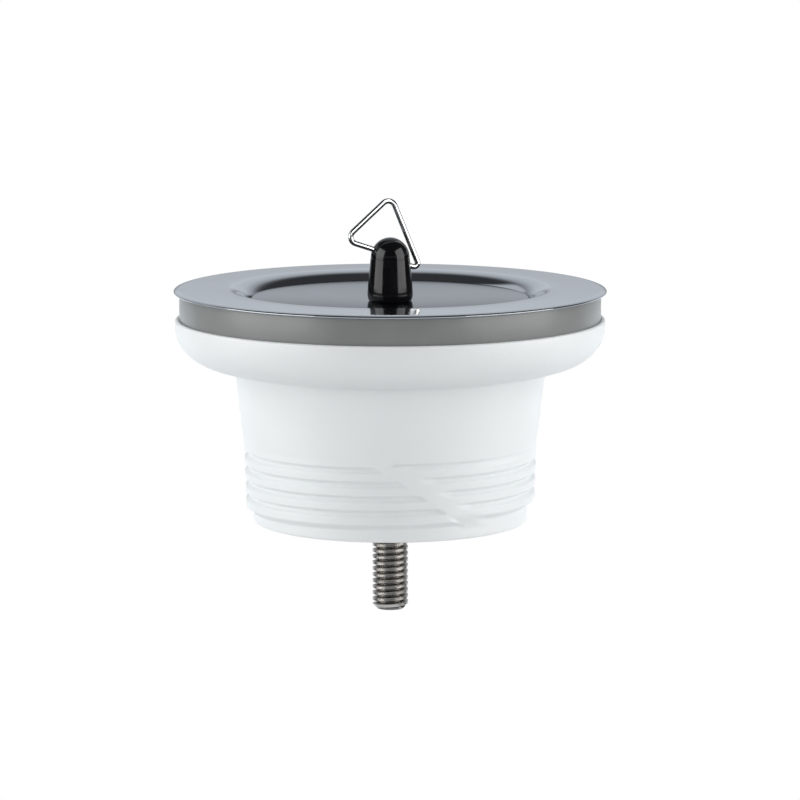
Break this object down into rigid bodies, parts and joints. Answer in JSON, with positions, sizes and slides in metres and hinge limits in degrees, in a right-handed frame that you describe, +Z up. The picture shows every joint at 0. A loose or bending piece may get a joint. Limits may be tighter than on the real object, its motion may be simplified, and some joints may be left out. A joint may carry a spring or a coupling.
{
  "type": "plug waste",
  "caption": "Plug waste for a shower tray or sink: steel flange and cup with a lift-out rubber plug, clamped by a long screw to a white threaded body below the tray.",
  "frame": {"origin": "middle of the steel rim's underside, in the plane of the tray's surface", "axes": "+Z up out of the drain along its axis, -Y the front as pictured, +X to the right"},
  "size_m": [0.07, 0.07, 0.0672],
  "materials": {
    "polished_steel": "polished, slightly dished rim",
    "grey_rubber": "matt, smooth moulded",
    "white_plastic": "satin moulded polypropylene",
    "brass": "turned, slightly dull",
    "screw_steel": "rolled thread, warm grey",
    "black_rubber": "glossy moulded",
    "cover_steel": "polished",
    "bright_wire": "bright drawn wire"
  },
  "bodies": {
    "waste": {"steel_flange": "polished_steel", "gasket": "grey_rubber", "body": "white_plastic", "hub_nut": "brass", "clamp_screw": "screw_steel"},
    "plug": {"plug": "black_rubber", "plug_cover": "cover_steel"},
    "ring": {"pull_ring": "bright_wire"}
  },
  "joints": [
    {"name": "plug_lift", "type": "slide", "parent": "waste", "child": "plug", "axis": [0, 0, 1], "range_m": [0, 0.04]},
    {"name": "ring_swing", "type": "hinge", "parent": "plug", "child": "ring", "pos_m": [0, 0, 0.0056], "axis": [0.8915, 0.1895, -0.4115], "range_deg": [-65, 65]}
  ]
}
